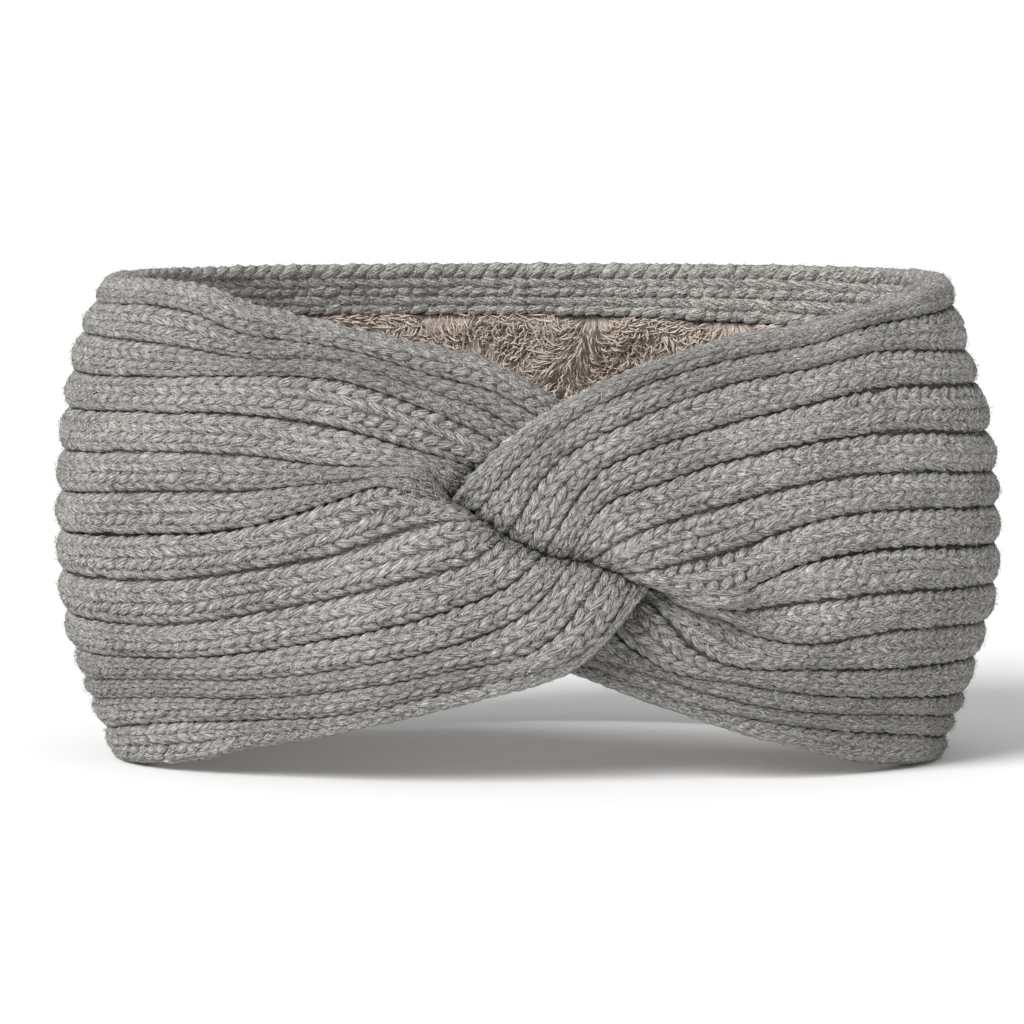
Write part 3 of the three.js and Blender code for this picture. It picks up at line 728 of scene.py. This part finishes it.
# painted shade at the strands' roots and painted light towards their tips
PLUSH_PAINTED_SHADE = np.array([-0.5, 0.1, 0.3])
PLUSH_BENDS = ((0.5, 0, 1), (0.5, 0.7, 0.75))  # of each half: length, turn and rise
PLUSH_RISE = (0.18, 0.55)  # of PILE
BACK_DENSER = 1.2  # how many more strands the back gets, as a share of the front's
STRAND_SIDES = 3
LOCK = 6  # strands to a lock
LOCK_ROWS = (-0.01, 1.01)  # from the upper to the lower edge
LOCK_SPREAD = {"along": 0.0028, "down": 0.02, "turn": 0.45, "heading": 0.22, "curl": 0.2}
CURL = 0.75
WHORL_SIZE = 0.02
WHORL_WAVES = 8
WHORL_TURNS = (1.5, 5)  # radians to a whorl's size
WHORL_STRENGTH = 0.8
PLUSH_WHORLS = 5  # the seed of the plush's whorls
EDGE_STRANDS = 1500
EDGE_REACH = 0.05  # how far to each side of the twist they go
EDGE_ROOT = 0.4  # of PILE
EDGE_ROWS = (0, 0.6)  # how far below the edge they start, in rows
EDGE_LENGTHS = (0.6, 1.3)  # of EDGE_MIDDLE and EDGE_TIP
EDGE_WIDTH = 0.0005
EDGE_WIDTHS = (0.6, 1.3)  # of EDGE_WIDTH
EDGE_MIDDLE = (0.0012, 0.0012)  # out and up
EDGE_TIP = (0.0032, -0.0016)
EDGE_ASIDE = 0.0016
UP = np.array([0.0, 0.0, 1.0])


def lining_sheet(out):
    """The lining at a distance out from its own back: rows from its upper edge to its lower one."""
    top, bottom = HEM_RIBS + LINING_EDGE_GAP, RIBS - HEM_RIBS - LINING_EDGE_GAP
    rows = []
    for share in np.linspace(0, 1, LINING_ROWS):
        ribs = mix(top, bottom, share)
        level = mix(LINING_FRONT["top"], LINING_FRONT["bottom"], share) * HEIGHT
        sides = []
        for half in HALVES:
            c = np.flatnonzero(half.station <= LINING_STATION)[::LINING_STRIDE]
            sides.append(np.stack(half.at(ribs, c)[:2], 1))
        right, left = sides
        across = np.linspace(-1, 1, 2 * LINING_MIDDLE_COLUMNS + 1)[1:-1]
        end = np.where(across[:, None] < 0, left[-1], right[-1])
        reach = np.abs(across)
        middle = np.stack([end[:, 0] * reach, mix(level, end[:, 1], smooth(0, 1, reach))], 1)
        ring = np.concatenate([left, middle, right[1:][::-1]])
        sunk_from, sunk_to = (length_at(LINING_SUNK[end]) for end in ("from", "to"))
        sunk = SINK * (1 - smooth(sunk_from, sunk_to, np.abs(ring[:, 0])))
        past = max(abs(2 * share - 1) - LINING_EDGE["from"], 0) / (1 - LINING_EDGE["from"])
        thick = out * (1 - LINING_EDGE["thinner"] * past)
        rows.append(place(ring[:, 0], ring[:, 1], -WALL - CLEARANCE - sunk + thick))
    return np.stack(rows)


def lining_body(material):
    """The backing of the plush."""
    points, faces = ladder(lining_sheet(0.0), lining_sheet(-PILE * LINING_SKIN), True)
    return make_mesh("plush_backing", points, faces, material)


def sheet_at(sheet, row, column):
    """Points of a closed sheet at fractional rows and columns."""
    rows, columns, _ = sheet.shape
    row = np.clip(row, 0, rows - 1)
    i = np.clip(row.astype(int), 0, rows - 2)
    j = np.floor(column).astype(int)
    s, t = (row - i)[..., None], (column - j)[..., None]
    j, k = j % columns, (j + 1) % columns
    return mix(mix(sheet[i, j], sheet[i, k], t), mix(sheet[i + 1, j], sheet[i + 1, k], t), s)


def plush(rng, count):
    """Strands of plush, which stand in locks and lie over in all directions."""
    foot, face = lining_sheet(-PILE * LINING_SKIN), lining_sheet(-PILE)
    rows, columns, _ = face.shape
    behind = face[rows // 2, :, 1] > 0
    step = np.linalg.norm(np.roll(face, -1, 1) - face, axis=-1).mean(0) * (1 + BACK_DENSER * behind)
    edges = np.concatenate([[0], np.cumsum(step)])
    locks = count // LOCK
    lock_column = rng.uniform(0, edges[-1], locks)
    lock_row = rng.uniform(*LOCK_ROWS, locks)
    lock_turn = rng.normal(0, LOCK_SPREAD["turn"], (2, locks))
    lock = rng.integers(0, locks, count)
    along = lock_column[lock] + rng.normal(0, LOCK_SPREAD["along"], count)
    column = np.interp(np.clip(along, 0, edges[-1] - 1e-6), edges, np.arange(columns + 1))
    row = (rows - 1) * (lock_row[lock] + rng.normal(0, LOCK_SPREAD["down"], count))
    root, top = sheet_at(foot, row, column), sheet_at(face, row, column)
    inward = unit(top - root)
    sideways = unit(np.cross(inward, -UP))
    heading = whorls(root, WHORL_SIZE, PLUSH_WHORLS) + lock_turn[0, lock]
    heading = heading + rng.normal(0, LOCK_SPREAD["heading"], count)
    curl = CURL * whorls(root, WHORL_SIZE / 2, PLUSH_WHORLS + 1) + lock_turn[1, lock]
    curl = curl + rng.normal(0, LOCK_SPREAD["curl"], count)
    long = PLUSH_LENGTH * rng.uniform(*PLUSH_LENGTHS, count)
    rise = PILE * rng.uniform(*PLUSH_RISE, count)
    axis = [root]
    for step, turn, height in PLUSH_BENDS:
        angle = heading + turn * curl
        lie = sideways * np.sin(angle)[:, None] - UP * np.cos(angle)[:, None]
        flat = axis[-1] - inward * ((axis[-1] - root) * inward).sum(-1, keepdims=True)
        axis.append(flat + lie * (long * step)[:, None] + inward * (rise * height)[:, None])
    upper = sheet_at(face, np.zeros(count), column)[:, 2]
    lower = sheet_at(face, np.full(count, rows - 1.0), column)[:, 2]
    tip = axis[-1][:, 2]
    kept = (tip < upper + PLUSH_OVER) & (tip > lower + PLUSH_OVER)
    axis = np.stack(axis, 1)[kept]
    fat = PLUSH_WIDTH * rng.uniform(*PLUSH_WIDTHS, (len(axis), 1))
    tone = rng.uniform(0, 1, len(axis))
    outward = inward[kept][:, None]
    strands = Strands()
    strands.add(axis, outward, fat, fat * PLUSH_FLATNESS, STRAND_SIDES, tone, PLUSH_PAINTED_SHADE)
    return strands


def edge_plush(rng, count):
    """Strands over the lining's upper edge in front, where it shows from above."""
    face = lining_sheet(-PILE * EDGE_ROOT)
    out = unit(lining_sheet(0.0)[0] - face[0])
    near = np.flatnonzero((face[0, :, 1] < 0) & (np.abs(face[0, :, 0]) < EDGE_REACH))
    column = rng.choice(near[:-1], count) + rng.uniform(0, 1, count)
    root = sheet_at(face, rng.uniform(*EDGE_ROWS, count), column)
    outward = out[column.astype(int)]
    aside = np.cross(UP, outward) * rng.normal(0, EDGE_ASIDE, (count, 1))
    reach = rng.uniform(*EDGE_LENGTHS, (count, 1))
    middle = root + (outward * EDGE_MIDDLE[0] + UP * EDGE_MIDDLE[1]) * reach + aside / 2
    tip = root + (outward * EDGE_TIP[0] + UP * EDGE_TIP[1]) * reach + aside
    fat = EDGE_WIDTH * rng.uniform(*EDGE_WIDTHS, (count, 1))
    axis = np.stack([root, middle, tip], 1)
    strands = Strands()
    strands.add(axis, UP, fat, fat, STRAND_SIDES, rng.uniform(0, 1, count), PLUSH_PAINTED_SHADE)
    return strands


def whorls(points, size, seed):
    """A smooth field of angles that changes over about the size given."""
    field = np.random.default_rng(seed)
    waves = unit(field.normal(0, 1, (WHORL_WAVES, 3)))
    waves = waves * field.uniform(*WHORL_TURNS, (WHORL_WAVES, 1)) / size
    phases = field.uniform(0, 2 * math.pi, WHORL_WAVES)
    return WHORL_STRENGTH * np.sin(points @ waves.T + phases).sum(1)


# Loose fibres: some lie along the legs and some stand off them. Headings are in radians.
LYING = {"length": (0.0011, 0.0026), "stand": (-0.00015, 0.0002), "width": 0.00017}
STANDING = {"length": (0.0008, 0.0024), "stand": (0.0002, 0.0009), "width": 0.00008}
LYING_HEADINGS = (0.6, -0.45)  # over the upper and the lower half of each half rib
LYING_SPREAD = 0.4
LYING_SHADE = 1.2  # they are darker or lighter by up to this
STANDING_SHADE = 0.3
FIBRE_DRAWS = 3  # places drawn for each fibre, of which some are dropped
FIBRE_SHARE = 0.45  # how many stay where the stitches aren't calm
FIBRE_ROOT = 0.0003  # how deep they start
FIBRE_TIP = 0.0001
FIBRE_TIPS = (-1.6, 0.5)  # how far the tips rise over the middle, of its stand
FIBRE_STEP = 0.3  # in columns
OUTSIDE_SPAN = (0.05, RIBS - 0.05)  # the ribs that have fibres
HEM_SPAN = (0.05, HEM_RIBS - 0.05)
RIM_SPAN = (0.05, RIM_ARC)
OUTSIDE_LYING = 11500  # fibres to each half
OUTSIDE_STANDING = 4500
HEM_LYING = 1400
RIM_FIBRES = 350


def fuzz(rng, half, face, span, count, lying):
    """Loose fibres on a face of the knit, over a span of its ribs."""
    kind = LYING if lying else STANDING
    draws = FIBRE_DRAWS * count
    ribs = rng.uniform(*span, draws)
    arc = row_arc(half, face, sum(span) / 2)
    column = np.interp(rng.uniform(0, arc[-1], draws), arc, np.arange(half.columns))
    calm = calmness(face(ribs, column, 0))
    near_groove = np.abs(ribs - np.round(ribs)) < GROOVE_CLEAR * half.at(ribs, column)[-1] ** 2
    in_groove = (face == half.outer) & near_groove
    chosen = rng.uniform(0, 1, draws) < mix(FIBRE_SHARE, 1, calm)
    kept = np.flatnonzero(chosen & ~in_groove)[:count]
    ribs, column = ribs[kept], column[kept]
    count = len(ribs)
    if lying:
        heading = np.where((ribs * 2) % 1 < 0.5, *LYING_HEADINGS)
        heading = heading + rng.normal(0, LYING_SPREAD, count)
    else:
        heading = rng.uniform(0, 2 * math.pi, count)
    length, stand = rng.uniform(*kind["length"], count), rng.uniform(*kind["stand"], count)
    normal = face_normal(face, ribs, column)
    run = face(ribs, column + FIBRE_STEP, 0) - face(ribs, column - FIBRE_STEP, 0)
    run = unit(run) * -half.arm
    side = np.cross(normal, run)
    side *= np.sign(side[:, 2:] + 1e-9)  # so that it points up
    lie = run * np.cos(heading)[:, None] + side * np.sin(heading)[:, None]
    middle = face(ribs, column, 0) + normal * stand[:, None]
    reach = lie * (length / 2)[:, None]
    fall = normal * (FIBRE_ROOT + stand)[:, None]
    rise = normal * (stand * rng.uniform(*FIBRE_TIPS, count) - FIBRE_TIP)[:, None]
    shade = LYING_SHADE * rng.uniform(-1, 1, (count, 1)) if lying else STANDING_SHADE
    strands = Strands()
    axis = np.stack([middle - reach - fall, middle, middle + reach + rise], 1)
    width, tone = kind["width"], rng.uniform(0, 1, count)
    strands.add(axis, normal[:, None], width, width, STRAND_SIDES, tone, shade)
    return strands


def joined(parts):
    """Several groups of strands as one."""
    whole = Strands()
    for part in parts:
        whole.faces += [faces + whole.count for faces in part.faces]
        whole.points += part.points
        whole.uvs += part.uvs
        whole.tones += part.tones
        whole.count += part.count
    return whole


def node(tree, kind, inputs=None, **settings):
    """A shader node with its inputs set, or linked where they come from another node."""
    made = tree.nodes.new(kind)
    for key, value in settings.items():
        setattr(made, key, value)
    for key, value in (inputs or {}).items():
        if isinstance(value, bpy.types.NodeSocket):
            tree.links.new(value, made.inputs[key])
        else:
            made.inputs[key].default_value = value
    return made


GRAIN_SCALE = 2200.0
# the tone part is the mesh's tone attribute: random tone plus painted shade and light
COLOUR_PARTS = {"blotch": 0.6, "tone": 0.25, "fibre": 3.4, "grain": 0.9}
COLOUR_RANGE = (1.95, 3.15)  # their sum at the dark and at the light colour
BUMP_PARTS = {"fibre": 1.0, "grain": 0.5}


def cloth_material(name, dark, light, streaks, bump_height, blotch_scale, sheen):
    """A fibrous material: its colour goes from dark to light by blotch, strand and fibre; the strand's
    part holds painted shade and light as well as random tone.
    """
    material = bpy.data.materials.new(name)
    material.use_nodes = True
    tree = material.node_tree
    tree.nodes.clear()
    out = node(tree, "ShaderNodeOutputMaterial")
    surface = {
        "Roughness": 0.92,
        "Sheen Weight": sheen,
        "Sheen Roughness": 0.6,
        "Specular IOR Level": 0.2,
    }
    shader = node(tree, "ShaderNodeBsdfPrincipled", surface)
    tree.links.new(shader.outputs[0], out.inputs["Surface"])
    in_object = node(tree, "ShaderNodeTexCoord").outputs["Object"]
    along_strand = node(tree, "ShaderNodeUVMap", uv_map="yarn").outputs["UV"]
    stretched = node(tree, "ShaderNodeMapping", {"Vector": along_strand, "Scale": streaks})

    def noise(vector, scale, detail, roughness=0.5):
        inputs = {"Vector": vector, "Scale": scale, "Detail": detail, "Roughness": roughness}
        return node(tree, "ShaderNodeTexNoise", inputs).outputs["Fac"]

    def times(value, factor, add=0.0):
        inputs = {0: value, 1: factor, 2: add}
        return node(tree, "ShaderNodeMath", inputs, operation="MULTIPLY_ADD").outputs[0]

    parts = {
        "blotch": noise(in_object, blotch_scale, 3.0),
        "tone": node(tree, "ShaderNodeAttribute", attribute_name="tone").outputs["Fac"],
        "fibre": noise(stretched.outputs[0], 1.0, 2.0, 0.6),
        "grain": noise(in_object, GRAIN_SCALE, 2.0),
    }
    share = 0.0
    for part, factor in COLOUR_PARTS.items():
        share = times(parts[part], factor, share)
    low, high = COLOUR_RANGE
    share = node(tree, "ShaderNodeMapRange", {"Value": share, "From Min": low, "From Max": high})
    ends = {"Factor": share.outputs[0], "A": (*dark, 1), "B": (*light, 1)}
    colour = node(tree, "ShaderNodeMix", ends, data_type="RGBA")
    tree.links.new(colour.outputs["Result"], shader.inputs["Base Color"])
    height = times(parts["fibre"], BUMP_PARTS["fibre"], times(parts["grain"], BUMP_PARTS["grain"]))
    bump = node(tree, "ShaderNodeBump", {"Height": height, "Strength": 1.0, "Distance": bump_height})
    tree.links.new(bump.outputs[0], shader.inputs["Normal"])
    return material


CAMERA_TARGET = Vector((-0.0036, 0.0, 0.0547))
CAMERA_DISTANCE = 1.5
CAMERA_ELEVATION = 5.5
CAMERA_LENS = 236  # in millimetres, on a sensor 36 mm wide
WORLD_STRENGTH = 0.55
FLOOR_SIZE = 60.0
FLOOR_PAINT = (0.9, 0.9, 0.9, 1)


def make_camera():
    """The photograph's viewing angle."""
    target = CAMERA_TARGET
    elevation = math.radians(CAMERA_ELEVATION)
    data = bpy.data.cameras.new("camera")
    data.sensor_width = 36
    data.lens = CAMERA_LENS
    camera = bpy.data.objects.new("camera", data)
    away = Vector((0, -math.cos(elevation), math.sin(elevation)))
    camera.location = target + CAMERA_DISTANCE * away
    camera.rotation_euler = (target - camera.location).to_track_quat("-Z", "Y").to_euler()
    bpy.context.scene.collection.objects.link(camera)
    bpy.context.scene.camera = camera


def sun(name, direction, strength, softness):
    """A wide, soft light from a direction."""
    data = bpy.data.lights.new(name, "SUN")
    data.energy = strength
    data.angle = math.radians(softness)
    lamp = bpy.data.objects.new(name, data)
    lamp.rotation_euler = Vector(direction).to_track_quat("Z", "Y").to_euler()
    bpy.context.scene.collection.objects.link(lamp)


def make_stage():
    """A pale floor under a white sky, a key light from the left and a fill from the right."""
    world = bpy.data.worlds.new("studio")
    bpy.context.scene.world = world
    world.use_nodes = True
    background = world.node_tree.nodes["Background"]
    background.inputs["Color"].default_value = (1, 1, 1, 1)
    background.inputs["Strength"].default_value = WORLD_STRENGTH
    sun("key", direction=(-0.95, -1.15, 1.05), strength=3.65, softness=30)
    sun("fill", direction=(0.9, -1.0, 0.1), strength=0.6, softness=60)
    corners = [(-1, -1), (1, -1), (1, 1), (-1, 1)]
    mesh = bpy.data.meshes.new("floor")
    mesh.from_pydata([(x * FLOOR_SIZE, y * FLOOR_SIZE, 0) for x, y in corners], [], [(0, 1, 2, 3)])
    floor = bpy.data.objects.new("floor", mesh)
    material = bpy.data.materials.new("floor_paint")
    material.use_nodes = True
    shader = material.node_tree.nodes["Principled BSDF"]
    shader.inputs["Base Color"].default_value = FLOOR_PAINT
    shader.inputs["Roughness"].default_value = 0.9
    mesh.materials.append(material)
    bpy.context.scene.collection.objects.link(floor)
    bpy.context.scene.view_settings.view_transform = "Standard"


def box_shift():
    """From the middle of the plan to the middle of the CAD box, which is the frame's."""
    columns = np.arange(HALVES[0].columns)
    ends = []
    for half in HALVES:
        for ribs in np.arange(RIBS) + 0.5:
            along, up, outside, *_ = half.at(ribs, columns)
            ends.append(place(along, up, outside))
    points = np.concatenate(ends)
    middle = (points.min(0) + points.max(0)) / 2
    low, high = (np.array(corner) for corner in CAD_BOX)
    shift = (low + high) / 2 - middle
    shift[2] = 0
    return shift


SHIFT = box_shift()
make_camera()
make_stage()

YARN = cloth_material(
    "knit_yarn",
    dark=(0.095, 0.09, 0.082),
    light=(0.635, 0.615, 0.575),
    streaks=(4.0, 22.0, 1.0),
    bump_height=0.0012,
    blotch_scale=60.0,
    sheen=0.1,
)
FIBRE = cloth_material(
    "knit_fibre",
    dark=(0.18, 0.172, 0.158),
    light=(0.68, 0.66, 0.62),
    streaks=(1.0, 1.0, 1.0),
    bump_height=0.0002,
    blotch_scale=60.0,
    sheen=0.1,
)
PLUSH = cloth_material(
    "plush",
    dark=(0.46, 0.382, 0.327),
    light=(0.66, 0.558, 0.486),
    streaks=(1.6, 8.0, 1.0),
    bump_height=0.0001,
    blotch_scale=90.0,
    sheen=0.15,
)
# a lighter copy of the plush's colour: painted light in the shade between the strands
PLUSH_BACK_PAINTED_LIGHT = cloth_material(
    "plush_back",
    dark=(0.6, 0.505, 0.437),
    light=(0.8, 0.685, 0.6),
    streaks=(1.0, 1.0, 1.0),
    bump_height=0.0008,
    blotch_scale=90.0,
    sheen=0.15,
)


def outside_stitches(rng, half, side):
    """The ribs of one half, in an upper and a lower piece."""
    pieces = []
    for part, first, last in (("upper", 0, RIBS // 2), ("lower", RIBS // 2, RIBS)):
        strands = Strands()
        for rib in range(first, last):
            table = LEGS[1:] if rib == 0 else LEGS[:-1] if rib == RIBS - 1 else LEGS
            legs(strands, half, half.outer, rib, table, rng)
        pieces.append(strands.mesh(f"stitches_{side}_{part}", YARN))
    return pieces


def hem_stitches(rng):
    """The rows round both rims and on the hems inside."""
    lower_rim = [(across, -slant, *rest) for across, slant, *rest in RIM_LEGS]
    lower_hem = [(-row[0], *like[1:]) for row, like in zip(HEM_LEGS[::-1], HEM_LEGS)]
    strands = Strands()
    for half in HALVES:
        legs(strands, half, rim_face(half, True), 0, RIM_LEGS, rng)
        legs(strands, half, rim_face(half, False), 0, lower_rim, rng)
        # the hem's legs get painted light
        legs(strands, half, half.inner, 0, [RIM_LOOPS, *HEM_LEGS], rng, HEM_PAINTED_LIGHT, HEM_CALM)
        legs(strands, half, half.inner, RIBS, lower_hem, rng, HEM_PAINTED_LIGHT, HEM_CALM)
    return strands.mesh("hem_stitches", YARN)


def outside_fibres(rng, name, count, lying):
    """The loose fibres outside, on both halves."""
    parts = [fuzz(rng, half, half.outer, OUTSIDE_SPAN, count, lying) for half in HALVES]
    return joined(parts).mesh(name, FIBRE)


def hem_fibres(rng):
    """The loose fibres on the hem inside and round the upper rim."""
    parts = [fuzz(rng, half, half.inner, HEM_SPAN, HEM_LYING, True) for half in HALVES]
    for half in HALVES:
        for lying in (True, False):
            parts.append(fuzz(rng, half, rim_face(half, True), RIM_SPAN, RIM_FIBRES, lying))
    return joined(parts).mesh("hem_fibres", FIBRE)


rng = np.random.default_rng(SEED)
knit_pieces = [backing(YARN)]
for half, side in zip(HALVES, ("right", "left")):
    knit_pieces += outside_stitches(rng, half, side)
knit_pieces.append(hem_stitches(rng))
knit_pieces.append(outside_fibres(rng, "lying_fibres", OUTSIDE_LYING, True))
knit_pieces.append(outside_fibres(rng, "standing_fibres", OUTSIDE_STANDING, False))
knit_pieces.append(hem_fibres(rng))
plush_pieces = [lining_body(PLUSH_BACK_PAINTED_LIGHT)]
plush_pieces.append(edge_plush(rng, EDGE_STRANDS).mesh("plush_edge", PLUSH))
for number in range(1, PLUSH_MESHES + 1):
    plush_pieces.append(plush(rng, PLUSH_COUNT).mesh(f"plush_tufts_{number}", PLUSH))

for piece in knit_pieces:
    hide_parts("knit_band")
for piece in plush_pieces:
    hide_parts("fleece_lining")
